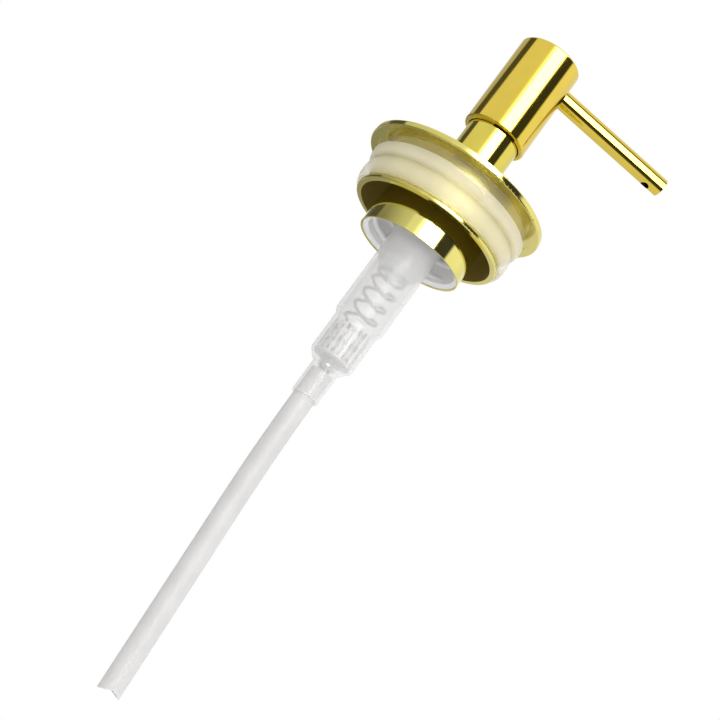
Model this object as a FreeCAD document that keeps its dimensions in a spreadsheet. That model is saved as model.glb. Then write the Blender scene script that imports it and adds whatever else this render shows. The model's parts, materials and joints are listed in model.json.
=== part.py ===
"""Soap pump dispenser: a lotion pump with a plug-in lid, as a parametric document.

Frame: +Z runs up the pump's axis, the origin is on that axis in the plane where the lid's rim rests
on a jar, and the spout points along +X. Lengths are in millimetres, angles in degrees.
"""
import FreeCAD, Part
import math
import os

import Sketcher

doc = FreeCAD.newDocument("soap_pump")
sheet = doc.addObject("Spreadsheet::Sheet", "Sizes")


class Size:
    """A number that also carries the formula that gives it from the cells of the sheet."""

    def __init__(self, formula, value):
        self.formula = formula
        self.value = value

    def __add__(self, other):
        return combine(self, "+", other)

    def __radd__(self, other):
        return combine(other, "+", self)

    def __sub__(self, other):
        return combine(self, "-", other)

    def __rsub__(self, other):
        return combine(other, "-", self)

    def __mul__(self, other):
        return combine(self, "*", other)

    def __rmul__(self, other):
        return combine(other, "*", self)

    def __truediv__(self, other):
        return combine(self, "/", other)

    def __neg__(self):
        return combine(0, "-", self)


def as_size(number):
    """Wraps a plain number, so that formulas can mix the two."""
    return number if isinstance(number, Size) else Size(repr(number), float(number))


def combine(left, sign, right):
    """Joins two sizes by one of the four signs of arithmetic."""
    left, right = as_size(left), as_size(right)
    results = {
        "+": left.value + right.value,
        "-": left.value - right.value,
        "*": left.value * right.value,
        "/": left.value / right.value if right.value else 0.0,
    }
    return Size(f"({left.formula} {sign} {right.formula})", results[sign])


def sine(angle):
    """The sine of an angle in degrees."""
    return Size(f"sin({angle.formula})", math.sin(math.radians(angle.value)))


def cosine(angle):
    """The cosine of an angle in degrees."""
    return Size(f"cos({angle.formula})", math.cos(math.radians(angle.value)))


row = 0


def cell(name, value):
    """Writes one driving dimension to the sheet and gives it back as a Size."""
    global row
    row += 1
    sheet.set(f"A{row}", name)
    sheet.set(f"B{row}", str(value))
    sheet.setAlias(f"B{row}", name)
    return Size(f"Sizes.{name}", float(value))


# ---- driving dimensions --------------------------------------------------------------------------

# clearances
snug_gap = cell("snug_gap", 0.02)            # radial, between pieces pressed or snapped together
running_gap = cell("running_gap", 0.05)      # radial, between pieces that slide or turn in each other
stop_gap = cell("stop_gap", 0.3)             # axial, at the ends of the stroke
valve_gap = cell("valve_gap", 0.1)           # between a ball at rest and its cone
ball_gap = cell("ball_gap", 0.6)             # radial, soap's way round a ball

# stroke
stroke = cell("stroke", 15.0)
pressed_gap = cell("pressed_gap", 2.2)       # bare collar left under the head when it is pressed down

# silicone plug ring
plug_dia = cell("plug_dia", 46.1)            # over the widest rib: the mouth of the jar less a squeeze
rib_thick = cell("rib_thick", 2.7)
neck_thick = cell("neck_thick", 1.2)
neck_height = cell("neck_height", 2.3)
groove_thick = cell("groove_thick", 1.6)
plug_rib_top = cell("plug_rib_top", 3.0)
plug_rib_land = cell("plug_rib_land", 1.0)
plug_rib_round = cell("plug_rib_round", 0.25)
groove_depth = cell("groove_depth", 6.6)
bead_radius = cell("bead_radius", 7.5)
rib_flank_radius = cell("rib_flank_radius", 8.0)
plug_foot_round = cell("plug_foot_round", 0.7)

# lid: flange, skirt and retaining lip
land_width = cell("land_width", 2.5)         # the rim's flat face, outside the plug ring
land_gap = cell("land_gap", 0.3)
land_step = cell("land_step", 0.15)
flange_thick = cell("flange_thick", 1.7)
flange_round = cell("flange_round", 0.35)
skirt_wall = cell("skirt_wall", 0.65)
skirt_depth = cell("skirt_depth", 13.2)
lip_reach = cell("lip_reach", 0.85)
lip_height = cell("lip_height", 1.1)
lip_round = cell("lip_round", 0.3)

# neck collar
collar_dia = cell("collar_dia", 15.06)
collar_wall = cell("collar_wall", 0.9)
collar_cover = cell("collar_cover", 2.3)     # how far the collar stands inside the raised head
collar_foot_reach = cell("collar_foot_reach", 2.47)
collar_foot_thick = cell("collar_foot_thick", 0.6)
collar_round = cell("collar_round", 0.3)

# closure
closure_dia = cell("closure_dia", 29.56)
closure_wall = cell("closure_wall", 0.45)
closure_foot = cell("closure_foot", 20.5)
closure_hole_gap = cell("closure_hole_gap", 0.17)
closure_round = cell("closure_round", 0.9)
liner_wall = cell("liner_wall", 1.15)
liner_inset = cell("liner_inset", 0.25)
liner_lead = cell("liner_lead", 0.8)         # chamfer that leads the bottle's neck in
liner_top_thick = cell("liner_top_thick", 1.3)

# neck gasket, and the flanges over it
gasket_thick = cell("gasket_thick", 1.4)
gasket_side_gap = cell("gasket_side_gap", 0.66)
housing_flange_thick = cell("housing_flange_thick", 1.4)
housing_side_gap = cell("housing_side_gap", 0.86)
guide_side_gap = cell("guide_side_gap", 2.16)
guide_flange_thick = cell("guide_flange_thick", 1.5)

# stem guide
guide_length = cell("guide_length", 13.8)
guide_room = cell("guide_room", 1.3)         # left between the guide and the pressed insert

# balls and ball cage
ball_dia = cell("ball_dia", 4.0)
outlet_ball_dia = cell("outlet_ball_dia", 3.8)
ball_lift = cell("ball_lift", 1.0)
pocket_depth = cell("pocket_depth", 2.2)
cage_wall = cell("cage_wall", 0.7)
cage_thick = cell("cage_thick", 0.6)
cage_slot = cell("cage_slot", 1.6)

# spring
wire_dia = cell("wire_dia", 0.9)
open_turns = cell("open_turns", 6)
closed_gap = cell("closed_gap", 0.06)        # between the wires of the closed turn at each end
spring_inner_gap = cell("spring_inner_gap", 0.15)
spring_outer_gap = cell("spring_outer_gap", 0.35)

# pump housing
barrel_dia = cell("barrel_dia", 13.9)
barrel_wall = cell("barrel_wall", 0.95)
step_height = cell("step_height", 1.8)
foot_length = cell("foot_length", 12.4)      # from the foot of the barrel to the seat of the ball cage
foot_round = cell("foot_round", 1.1)
shoulder_height = cell("shoulder_height", 2.6)
socket_wall = cell("socket_wall", 0.73)
socket_length = cell("socket_length", 11.5)
port_dia = cell("port_dia", 2.8)
port_length = cell("port_length", 0.6)
rib_count = cell("rib_count", 10)
rib_width = cell("rib_width", 0.7)
rib_reach = cell("rib_reach", 0.5)
rib_length = cell("rib_length", 8.5)
vent_dia = cell("vent_dia", 1.2)
vent_depth = cell("vent_depth", 10.5)

# stem
stem_dia = cell("stem_dia", 7.1)
stem_bore = cell("stem_bore", 3.8)
stem_shoulder_reach = cell("stem_shoulder_reach", 0.85)
stem_shoulder_height = cell("stem_shoulder_height", 1.2)
stem_socket_depth = cell("stem_socket_depth", 4.3)
outlet_chamber_depth = cell("outlet_chamber_depth", 3.8)
outlet_port_dia = cell("outlet_port_dia", 2.8)
outlet_port_length = cell("outlet_port_length", 1.0)

# piston and piston seat
piston_height = cell("piston_height", 6.6)
piston_lip_reach = cell("piston_lip_reach", 0.85)
piston_lip_height = cell("piston_lip_height", 1.3)
piston_groove = cell("piston_groove", 1.6)
seat_side_gap = cell("seat_side_gap", 0.1)
seat_flange_thick = cell("seat_flange_thick", 1.5)
seat_spigot = cell("seat_spigot", 5.0)
seat_bore = cell("seat_bore", 1.8)

# dip tube
tube_dia = cell("tube_dia", 6.0)
tube_wall = cell("tube_wall", 0.7)
tube_straight = cell("tube_straight", 7.5)
tube_bend_radius = cell("tube_bend_radius", 560.0)
tube_lean = cell("tube_lean", 3.2)
tube_run = cell("tube_run", 53.0)
notch_depth = cell("notch_depth", 1.2)

# head
head_slide_gap = cell("head_slide_gap", 0.37)
head_wall = cell("head_wall", 1.1)
head_roof = cell("head_roof", 1.2)
head_room = cell("head_room", 0.8)           # left over the collar when the head is pressed down
head_lip_height = cell("head_lip_height", 1.2)
head_lip_gap = cell("head_lip_gap", 0.22)
head_top_round = cell("head_top_round", 0.5)
head_foot_round = cell("head_foot_round", 0.6)

# head insert
insert_floor = cell("insert_floor", 0.9)     # under the spout
insert_hub_wall = cell("insert_hub_wall", 1.73)
insert_hub_length = cell("insert_hub_length", 2.9)
channel_dia = cell("channel_dia", 3.0)
stop_slot = cell("stop_slot", 1.0)

# spout
spout_dia = cell("spout_dia", 5.3)
spout_wall = cell("spout_wall", 0.5)
spout_cover = cell("spout_cover", 3.5)       # from the top of the head down to the top of the spout
spout_reach = cell("spout_reach", 45.4)      # from the pump's axis to the tip
spout_root_wall = cell("spout_root_wall", 1.13)
outlet_dia = cell("outlet_dia", 2.5)
outlet_inset = cell("outlet_inset", 4.2)
plug_thick = cell("plug_thick", 1.2)

# ---- places worked out from them -----------------------------------------------------------------

# lid, from the plug ring inwards
plug_radius = plug_dia / 2
skirt_radius = plug_radius - rib_thick
skirt_bore = skirt_radius - skirt_wall
land_inner = plug_radius + land_gap
flange_radius = land_inner + land_width

# collar and closure
collar_radius = collar_dia / 2
collar_bore = collar_radius - collar_wall
closure_radius = closure_dia / 2
closure_hole = collar_bore + closure_hole_gap
collar_foot_top = land_step - snug_gap
closure_top = collar_foot_top - collar_foot_thick
liner_radius = closure_radius - closure_wall - snug_gap
liner_bore = liner_radius - liner_wall
liner_roof = closure_top - closure_wall
guide_flange_top = liner_roof - liner_top_thick
housing_top = guide_flange_top - guide_flange_thick
gasket_top = housing_top - housing_flange_thick

# across the foot of the housing, from the ball outwards
pocket_radius = ball_dia / 2 + ball_gap
cage_radius = pocket_radius + cage_wall
spring_radius = cage_radius + spring_inner_gap + wire_dia / 2
rib_radius = spring_radius + wire_dia / 2 + spring_outer_gap
foot_bore = rib_radius + rib_reach
foot_radius = foot_bore + barrel_wall
barrel_radius = barrel_dia / 2
barrel_bore = barrel_radius - barrel_wall
tube_radius = tube_dia / 2
tube_bore = tube_radius - tube_wall
socket_bore = tube_radius + snug_gap
socket_radius = socket_bore + socket_wall

# down the plunger at rest
stem_radius = stem_dia / 2
stem_bore_radius = stem_bore / 2
guide_end = housing_top - guide_length
guide_bore = stem_radius + running_gap
shoulder_top = guide_end - stop_gap
piston_top = shoulder_top - stem_shoulder_height - snug_gap
piston_end = piston_top - piston_height
seat_top = piston_end - snug_gap
seat_end = seat_top - seat_flange_thick

# down the housing
barrel_foot = seat_end - stroke - stop_gap
foot_top = barrel_foot - step_height
cage_foot = barrel_foot - foot_length
cage_seat = cage_foot + cage_thick
shoulder_end = cage_foot - shoulder_height
socket_end = cage_foot - socket_length
port_radius = port_dia / 2
pocket_floor = cage_foot - pocket_depth
cone_foot = pocket_floor - (pocket_radius - port_radius)
port_end = cone_foot - port_length
tube_top = port_end - snug_gap

# up the head at rest
head_foot = flange_thick + pressed_gap + stroke
collar_top = head_foot + collar_cover
insert_foot = collar_top + head_room + stroke
hub_foot = insert_foot - insert_hub_length
guide_top = hub_foot - stroke - guide_room
spout_radius = spout_dia / 2
spout_bore = spout_radius - spout_wall
spout_height = insert_foot + insert_floor + spout_radius
head_top = spout_height + spout_radius + spout_cover
head_bore = collar_radius + head_slide_gap
head_radius = head_bore + head_wall
insert_radius = head_bore - snug_gap
insert_top = head_top - head_roof - snug_gap
stem_socket = stem_radius + snug_gap
stem_top = hub_foot + stem_socket_depth
spout_root = stem_socket + spout_root_wall
chamber_radius = outlet_ball_dia / 2 + ball_gap
outlet_port = outlet_port_dia / 2
chamber_floor = stem_top - outlet_chamber_depth
outlet_cone_foot = chamber_floor - (chamber_radius - outlet_port)

# a ball over a cone of 45 degrees
diagonal = math.sqrt(2)
inlet_ball_height = cone_foot - port_radius + diagonal * (ball_dia / 2 + valve_gap)
outlet_ball_height = outlet_cone_foot - outlet_port + diagonal * (outlet_ball_dia / 2 + valve_gap)

# ---- ways of making a piece ----------------------------------------------------------------------


def new_body(label):
    """A PartDesign body whose label names the piece."""
    made = doc.addObject("PartDesign::Body", label)
    made.Label = label
    return made


def origin_plane(body, role):
    """One of the body's own origin planes or axes, such as XY_Plane."""
    return next(item for item in body.Origin.OriginFeatures if item.Role == role)


def new_sketch(body, name, plane="XZ_Plane", offset=None):
    """A sketch on one of the body's origin planes, moved along the plane's normal by offset."""
    sketch = body.newObject("Sketcher::SketchObject", name)
    sketch.AttachmentSupport = [(origin_plane(body, plane), "")]
    sketch.MapMode = "FlatFace"
    if offset is not None:
        sketch.AttachmentOffset = FreeCAD.Placement(FreeCAD.Vector(0, 0, offset.value), FreeCAD.Rotation())
        sketch.setExpression("AttachmentOffset.Base.z", offset.formula)
    return sketch


def bind(sketch, kind, *references, size):
    """Adds one dimension to a sketch and binds it to a formula."""
    index = sketch.addConstraint(Sketcher.Constraint(kind, *references, size.value))
    sketch.setExpression(f"Constraints[{index}]", size.formula)


def pin_point(sketch, line, end, across, up):
    """Fixes one end of a line at a place measured from the sketch's origin."""
    for kind, axis, size in (("DistanceX", -2, as_size(across)), ("DistanceY", -1, as_size(up))):
        if size.value == 0:
            sketch.addConstraint(Sketcher.Constraint("PointOnObject", line, end, axis))
        else:
            bind(sketch, kind, -1, 1, line, end, size=size)


def arc_between(start, end, radius, side):
    """An arc from start to end; side 1 bulges to the left of the way along it, -1 to the right."""
    chord = end - start
    middle = (start + end) / 2
    left = FreeCAD.Vector(-chord.y, chord.x, 0) / chord.Length
    rise = math.sqrt(radius * radius - chord.Length * chord.Length / 4)
    centre = middle - left * side * rise
    crown = centre + left * side * radius
    return Part.Arc(start, crown, end)


def ends_in_order(sketch, index, start):
    """The numbers of an edge's two ends, the one at start first: every arc is stored anticlockwise."""
    at_start = (sketch.getPoint(index, 1) - start).Length < 1e-6
    return (1, 2) if at_start else (2, 1)


def draw_outline(sketch, corners):
    """Draws a closed outline of (across, up) corners; one that an arc leaves adds (radius, side)."""
    places = [FreeCAD.Vector(as_size(c[0]).value, as_size(c[1]).value, 0) for c in corners]
    count = len(corners)
    for index, corner in enumerate(corners):
        start, end = places[index], places[(index + 1) % count]
        if len(corner) == 4:
            sketch.addGeometry(arc_between(start, end, corner[2].value, corner[3]), False)
        else:
            sketch.addGeometry(Part.LineSegment(start, end), False)
    ends = [ends_in_order(sketch, index, places[index]) for index in range(count)]
    for index, corner in enumerate(corners):
        following = (index + 1) % count
        sketch.addConstraint(
            Sketcher.Constraint("Coincident", index, ends[index][1], following, ends[following][0]))
        pin_point(sketch, index, ends[index][0], corner[0], corner[1])
        if len(corner) == 4:
            bind(sketch, "Radius", index, size=corner[2])


def draw_circle(sketch, across, up, radius):
    """Draws a circle at a place measured from the sketch's origin."""
    centre = FreeCAD.Vector(as_size(across).value, as_size(up).value, 0)
    index = sketch.addGeometry(Part.Circle(centre, FreeCAD.Vector(0, 0, 1), radius.value), False)
    pin_point(sketch, index, 3, across, up)
    bind(sketch, "Radius", index, size=radius)


def add_feature(body, kind, name, sketch, **settings):
    """Adds a feature that works on a sketch, with its sizes bound to their formulas."""
    feature = body.newObject(f"PartDesign::{kind}", name)
    feature.Profile = sketch
    for key, value in settings.items():
        if isinstance(value, Size):
            setattr(feature, key, value.value)
            feature.setExpression(key, value.formula)
        else:
            setattr(feature, key, value)
    body.Tip = feature
    doc.recompute()
    return feature


def turn(body, name, corners, kind="Revolution"):
    """Turns an outline of (radius, height) corners once round the pump's axis."""
    sketch = new_sketch(body, f"{name}_outline")
    draw_outline(sketch, corners)
    return add_feature(body, kind, name, sketch, ReferenceAxis=(sketch, ["V_Axis"]), Angle=360)


def turned_body(label, corners):
    """A body whose first feature is a turned outline."""
    body = new_body(label)
    turn(body, f"{label}_turned", corners)
    return body


def cut(body, name, sketch, length, reverse=False, both_ways=False):
    """A pocket of a given length, which must take something away."""
    before = body.Shape.Volume
    pocket = add_feature(body, "Pocket", name, sketch, Type=0, Length=length,
                         Reversed=reverse, Midplane=both_ways)
    if body.Shape.Volume >= before - 1e-6:
        raise RuntimeError(f"{name} cuts nothing")
    return pocket


def ring_edges(body, places):
    """Names of the body's circular edges about the pump's axis at the given (radius, height) places."""
    names = []
    for radius, height in places:
        radius, height = as_size(radius).value, as_size(height).value
        for index, edge in enumerate(body.Shape.Edges):
            curve = edge.Curve
            if not isinstance(curve, Part.Circle):
                continue
            if abs(curve.Radius - radius) < 1e-4 and abs(curve.Center.z - height) < 1e-4:
                if math.hypot(curve.Center.x, curve.Center.y) < 1e-4:
                    names.append(f"Edge{index + 1}")
    if len(names) < len(places):
        raise RuntimeError(f"{body.Label}: an edge to round is missing")
    return names


def round_edges(body, name, radius, places):
    """Rounds circular edges of a body."""
    base = (body.Tip, ring_edges(body, places))
    fillet = body.newObject("PartDesign::Fillet", name)
    fillet.Base = base
    fillet.Radius = radius.value
    fillet.setExpression("Radius", radius.formula)
    body.Tip = fillet
    doc.recompute()
    return fillet


def repeat_round(body, name, features, count):
    """Repeats features evenly round the pump's axis."""
    pattern = body.newObject("PartDesign::PolarPattern", name)
    pattern.Originals = features
    pattern.Axis = (origin_plane(body, "Z_Axis"), [""])
    pattern.Angle = 360
    pattern.Occurrences = int(count.value)
    pattern.setExpression("Occurrences", count.formula)
    body.Tip = pattern
    doc.recompute()
    return pattern


def repeat_up(body, name, features, spacing, count):
    """Repeats features at even steps up the pump's axis."""
    pattern = body.newObject("PartDesign::LinearPattern", name)
    pattern.Originals = features
    pattern.Direction = (origin_plane(body, "Z_Axis"), [""])
    length = spacing * (count - 1)
    pattern.Length = length.value
    pattern.setExpression("Length", length.formula)
    pattern.Occurrences = int(count.value)
    pattern.setExpression("Occurrences", count.formula)
    body.Tip = pattern
    doc.recompute()
    return pattern


# ---- the lid -------------------------------------------------------------------------------------


def make_lid_plate():
    """Flange disc with a skirt; the skirt's foot turns out into a lip that keeps the seal on."""
    hole = collar_radius + snug_gap
    lip_radius = skirt_radius + lip_reach
    lip_top = lip_height - skirt_depth
    body = turned_body("lid_plate", [
        (hole, land_step),
        (hole, flange_thick),
        (flange_radius, flange_thick),
        (flange_radius, 0),
        (land_inner, 0),
        (land_inner, land_step),
        (skirt_radius, land_step),
        (skirt_radius, lip_top),
        (lip_radius, lip_top),
        (lip_radius, -skirt_depth),
        (skirt_bore, -skirt_depth),
        (skirt_bore, land_step),
    ])
    round_edges(body, "rim_round", flange_round, [(flange_radius, flange_thick), (flange_radius, 0)])
    round_edges(body, "lip_edge_round", lip_round, [(lip_radius, lip_top), (lip_radius, -skirt_depth)])
    return body


def make_lid_seal():
    """Silicone ring: a neck, a wide rib, a groove and a long rounded bead below it."""
    bore = skirt_radius + snug_gap
    top = land_step - snug_gap
    foot = lip_height - skirt_depth + snug_gap
    neck = skirt_radius + neck_thick
    groove = skirt_radius + groove_thick
    rib_foot = -plug_rib_top - plug_rib_land
    body = turned_body("lid_seal", [
        (bore, foot),
        (bore, top),
        (neck, top),
        (neck, -neck_height),
        (plug_radius, -plug_rib_top),
        (plug_radius, rib_foot, rib_flank_radius, 1),
        (groove, -groove_depth, bead_radius, 1),
        (groove, foot),
    ])
    round_edges(body, "plug_rib_edge", plug_rib_round, [(plug_radius, -plug_rib_top)])
    round_edges(body, "plug_foot_edge", plug_foot_round, [(groove, foot)])
    return body


def make_neck_collar():
    """Sleeve that the head slides over; its foot is trapped between lid and closure."""
    body = turned_body("neck_collar", [
        (collar_bore, closure_top),
        (collar_bore, collar_top),
        (collar_radius, collar_top),
        (collar_radius, collar_foot_top),
        (collar_radius + collar_foot_reach, collar_foot_top),
        (collar_radius + collar_foot_reach, closure_top),
    ])
    round_edges(body, "collar_top_round", collar_round, [(collar_radius, collar_top)])
    return body


# ---- the closure ---------------------------------------------------------------------------------


def make_closure_shell():
    """Smooth metal cap with a hole in its roof."""
    wall_inside = closure_radius - closure_wall
    roof = closure_top - snug_gap
    body = turned_body("closure_shell", [
        (closure_hole, liner_roof),
        (closure_hole, roof),
        (closure_radius, roof),
        (closure_radius, -closure_foot),
        (wall_inside, -closure_foot),
        (wall_inside, liner_roof),
    ])
    round_edges(body, "closure_shoulder", closure_round, [(closure_radius, roof)])
    return body


def make_closure_liner():
    """Plastic cup pressed into the cap; its bore carries the thread."""
    roof = liner_roof - snug_gap
    foot = liner_inset - closure_foot
    return turned_body("closure_liner", [
        (closure_hole, guide_flange_top),
        (closure_hole, roof),
        (liner_radius, roof),
        (liner_radius, foot),
        (liner_bore + liner_lead, foot),
        (liner_bore, foot + liner_lead),
        (liner_bore, guide_flange_top),
    ])


def make_neck_gasket():
    """Soft washer that the bottle's neck is screwed up against."""
    top = gasket_top - snug_gap
    edge = liner_bore - gasket_side_gap
    return turned_body("neck_gasket", [
        (barrel_radius + snug_gap, top - gasket_thick),
        (barrel_radius + snug_gap, top),
        (edge, top),
        (edge, top - gasket_thick),
    ])


# ---- the pump below the lid ----------------------------------------------------------------------


def make_pump_housing():
    """Barrel, stepped foot with inner ribs, valve cone and the socket for the dip tube."""
    flange = liner_bore - housing_side_gap
    body = turned_body("pump_housing", [
        (barrel_bore, barrel_foot),
        (barrel_bore, housing_top - snug_gap),
        (flange, housing_top - snug_gap),
        (flange, gasket_top),
        (barrel_radius, gasket_top),
        (barrel_radius, barrel_foot),
        (foot_radius, foot_top),
        (foot_radius, cage_foot),
        (socket_radius, shoulder_end),
        (socket_radius, socket_end),
        (socket_bore, socket_end),
        (socket_bore, port_end),
        (port_radius, port_end),
        (port_radius, cone_foot),
        (pocket_radius, pocket_floor),
        (pocket_radius, cage_foot),
        (foot_bore, cage_foot),
        (foot_bore, foot_top),
    ])
    round_edges(body, "foot_edge_round", foot_round, [(foot_radius, cage_foot)])
    rib_sketch = new_sketch(body, "rib_outline", "XY_Plane", cage_seat)
    in_wall = foot_bore + barrel_wall / 2
    draw_outline(rib_sketch, [
        (rib_radius, -rib_width / 2),
        (in_wall, -rib_width / 2),
        (in_wall, rib_width / 2),
        (rib_radius, rib_width / 2),
    ])
    rib = add_feature(body, "Pad", "rib", rib_sketch, Length=rib_length)
    repeat_round(body, "ribs", [rib], rib_count)
    vent_sketch = new_sketch(body, "vent_outline", "YZ_Plane")
    draw_circle(vent_sketch, 0, -vent_depth, vent_dia / 2)
    cut(body, "vent", vent_sketch, barrel_dia, reverse=True)
    return body


def make_ball_cage():
    """Slotted cap that keeps the inlet ball and seats the spring."""
    edge = foot_bore - snug_gap
    foot = cage_foot + snug_gap
    ceiling = inlet_ball_height + ball_dia / 2 + ball_lift + valve_gap
    roof = ceiling + cage_thick
    body = turned_body("ball_cage", [
        (pocket_radius, foot),
        (pocket_radius, ceiling),
        (0, ceiling),
        (0, roof),
        (cage_radius, roof),
        (cage_radius, cage_seat),
        (edge, cage_seat),
        (edge, foot),
    ])
    slot_sketch = new_sketch(body, "slot_outline")
    draw_outline(slot_sketch, [
        (-cage_slot / 2, cage_seat + snug_gap),
        (cage_slot / 2, cage_seat + snug_gap),
        (cage_slot / 2, roof + cage_thick),
        (-cage_slot / 2, roof + cage_thick),
    ])
    cut(body, "slot", slot_sketch, 2 * cage_radius, both_ways=True)
    return body


def make_dip_tube():
    """Tube that leaves the socket straight, bends gently and ends in a shallow V cut."""
    body = new_body("dip_tube")
    bend_start = tube_top - tube_straight
    bend_across = tube_bend_radius * (1 - cosine(tube_lean))
    bend_end = bend_start - tube_bend_radius * sine(tube_lean)
    tip_across = bend_across + tube_run * sine(tube_lean)
    tip = bend_end - tube_run * cosine(tube_lean)
    path = new_sketch(body, "tube_path")
    route = [(as_size(0), tube_top), (as_size(0), bend_start), (bend_across, bend_end), (tip_across, tip)]
    places = [FreeCAD.Vector(across.value, up.value, 0) for across, up in route]
    path.addGeometry(Part.LineSegment(places[0], places[1]), False)
    path.addGeometry(arc_between(places[1], places[2], tube_bend_radius.value, -1), False)
    path.addGeometry(Part.LineSegment(places[2], places[3]), False)
    bend_first, bend_last = ends_in_order(path, 1, places[1])
    path.addConstraint(Sketcher.Constraint("Coincident", 0, 2, 1, bend_first))
    path.addConstraint(Sketcher.Constraint("Coincident", 1, bend_last, 2, 1))
    pin_point(path, 0, 1, *route[0])
    pin_point(path, 0, 2, *route[1])
    pin_point(path, 2, 1, *route[2])
    pin_point(path, 2, 2, *route[3])
    bind(path, "Radius", 1, size=tube_bend_radius)
    section = new_sketch(body, "tube_section", "XY_Plane", tube_top)
    draw_circle(section, 0, 0, tube_radius)
    draw_circle(section, 0, 0, tube_bore)
    add_feature(body, "AdditivePipe", "tube", section, Spine=(path, ["Edge1", "Edge2", "Edge3"]))
    notch = new_sketch(body, "notch_outline")
    # sideways and down along the leaning tube; each flank runs on past the wall by as much again
    side_across, side_up = cosine(tube_lean), sine(tube_lean)
    down_across, down_up = sine(tube_lean), -cosine(tube_lean)
    draw_outline(notch, [
        (tip_across - notch_depth * down_across, tip - notch_depth * down_up),
        (tip_across - tube_dia * side_across + notch_depth * down_across,
         tip - tube_dia * side_up + notch_depth * down_up),
        (tip_across + tube_dia * side_across + notch_depth * down_across,
         tip + tube_dia * side_up + notch_depth * down_up),
    ])
    cut(body, "notch", notch, 2 * tube_dia, both_ways=True)
    return body


def half_turn(body, name, side, foot, rise):
    """Half a turn of wire as a tilted half ring: it starts level on the given side, 1 for +X, -1 for -X.

    Its axis leans in the sketch's plane, so it leaves and arrives level, and half turns join smoothly.
    """
    sketch = new_sketch(body, f"{name}_outline")
    middle = foot + rise / 2
    start = FreeCAD.Vector(0, middle.value, 0)
    lean = FreeCAD.Vector(side * rise.value / 2, spring_radius.value, 0)
    axis = sketch.addGeometry(Part.LineSegment(start, start + lean), True)
    pin_point(sketch, axis, 1, 0, middle)
    pin_point(sketch, axis, 2, side * rise / 2, middle + spring_radius)
    draw_circle(sketch, side * spring_radius, foot, wire_dia / 2)
    return add_feature(body, "Revolution", name, sketch, ReferenceAxis=(sketch, ["Axis0"]), Angle=180)


def full_turn(body, name, foot, pitch):
    """Two half turns, one over each side."""
    rise = pitch / 2
    return [half_turn(body, f"{name}_out", 1, foot, rise), half_turn(body, f"{name}_back", -1, foot + rise, rise)]


def make_spring():
    """Coil spring between the ball cage and the piston seat, with a closed turn at each end."""
    body = new_body("spring")
    closed_pitch = wire_dia + closed_gap
    foot = cage_seat + wire_dia / 2
    crown = seat_end - wire_dia / 2
    open_foot = foot + closed_pitch
    open_pitch = (crown - closed_pitch - open_foot) / open_turns
    full_turn(body, "foot_turn", foot, closed_pitch)
    coil = full_turn(body, "open_turn", open_foot, open_pitch)
    repeat_up(body, "open_coil", coil, open_pitch, open_turns)
    full_turn(body, "crown_turn", crown - closed_pitch, closed_pitch)
    return body


# ---- the plunger ---------------------------------------------------------------------------------


def make_stem_guide():
    """Guide that stands in the collar, is held by the closure and reaches into the barrel."""
    in_collar = collar_bore - snug_gap
    in_barrel = barrel_bore - snug_gap
    flange = liner_bore - guide_side_gap
    flange_top = guide_flange_top - snug_gap
    return turned_body("stem_guide", [
        (guide_bore, guide_end),
        (guide_bore, guide_top),
        (in_collar, guide_top),
        (in_collar, flange_top),
        (flange, flange_top),
        (flange, housing_top),
        (in_barrel, housing_top),
        (in_barrel, guide_end),
    ])


def make_stem():
    """Hollow stem with a shoulder over the piston and the outlet valve's chamber at its top."""
    end = seat_top + snug_gap
    port_foot = outlet_cone_foot - outlet_port_length
    shoulder = stem_radius + stem_shoulder_reach
    shoulder_foot = shoulder_top - stem_shoulder_height
    return turned_body("stem", [
        (stem_bore_radius, end),
        (stem_bore_radius, port_foot - (stem_bore_radius - outlet_port)),
        (outlet_port, port_foot),
        (outlet_port, outlet_cone_foot),
        (chamber_radius, chamber_floor),
        (chamber_radius, stem_top),
        (stem_radius, stem_top),
        (stem_radius, shoulder_top),
        (shoulder, shoulder_top),
        (shoulder, shoulder_foot),
        (stem_radius, shoulder_foot),
        (stem_radius, end),
    ])


def make_piston():
    """Double-lip seal that slides in the barrel."""
    bore = stem_radius + running_gap
    outer = barrel_bore - running_gap
    waist = outer - piston_lip_reach
    middle = (bore + waist) / 2
    lip_root = (middle + waist) / 2
    return turned_body("piston", [
        (bore, piston_end),
        (bore, piston_top),
        (middle, piston_top),
        (lip_root, piston_top - piston_groove),
        (outer, piston_top),
        (outer, piston_top - piston_lip_height),
        (waist, piston_top - 2 * piston_lip_height),
        (waist, piston_end + 2 * piston_lip_height),
        (outer, piston_end + piston_lip_height),
        (outer, piston_end),
        (lip_root, piston_end + piston_groove),
        (middle, piston_end),
    ])


def make_piston_seat():
    """Plug in the stem's foot; the spring pushes on its flange and its bore lets the soap through."""
    spigot = stem_bore_radius - snug_gap
    flange = rib_radius - seat_side_gap
    return turned_body("piston_seat", [
        (seat_bore / 2, seat_end),
        (seat_bore / 2, seat_top + seat_spigot),
        (spigot, seat_top + seat_spigot),
        (spigot, seat_top),
        (flange, seat_top),
        (flange, seat_end),
    ])


# ---- the head ------------------------------------------------------------------------------------


def make_head_shell():
    """Metal cup with an in-turned lip at its mouth and a hole for the spout."""
    lip_bore = collar_radius + head_lip_gap
    body = turned_body("head_shell", [
        (lip_bore, head_foot),
        (lip_bore, head_foot + head_lip_height),
        (head_bore, head_foot + head_lip_height),
        (head_bore, head_top - head_roof),
        (0, head_top - head_roof),
        (0, head_top),
        (head_radius, head_top),
        (head_radius, head_foot),
    ])
    round_edges(body, "top_round", head_top_round, [(head_radius, head_top)])
    round_edges(body, "foot_round", head_foot_round, [(head_radius, head_foot)])
    hole = new_sketch(body, "spout_hole_outline", "YZ_Plane")
    draw_circle(hole, 0, spout_height, spout_radius + snug_gap)
    cut(body, "spout_hole", hole, 2 * head_radius, reverse=True)
    return body


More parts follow.
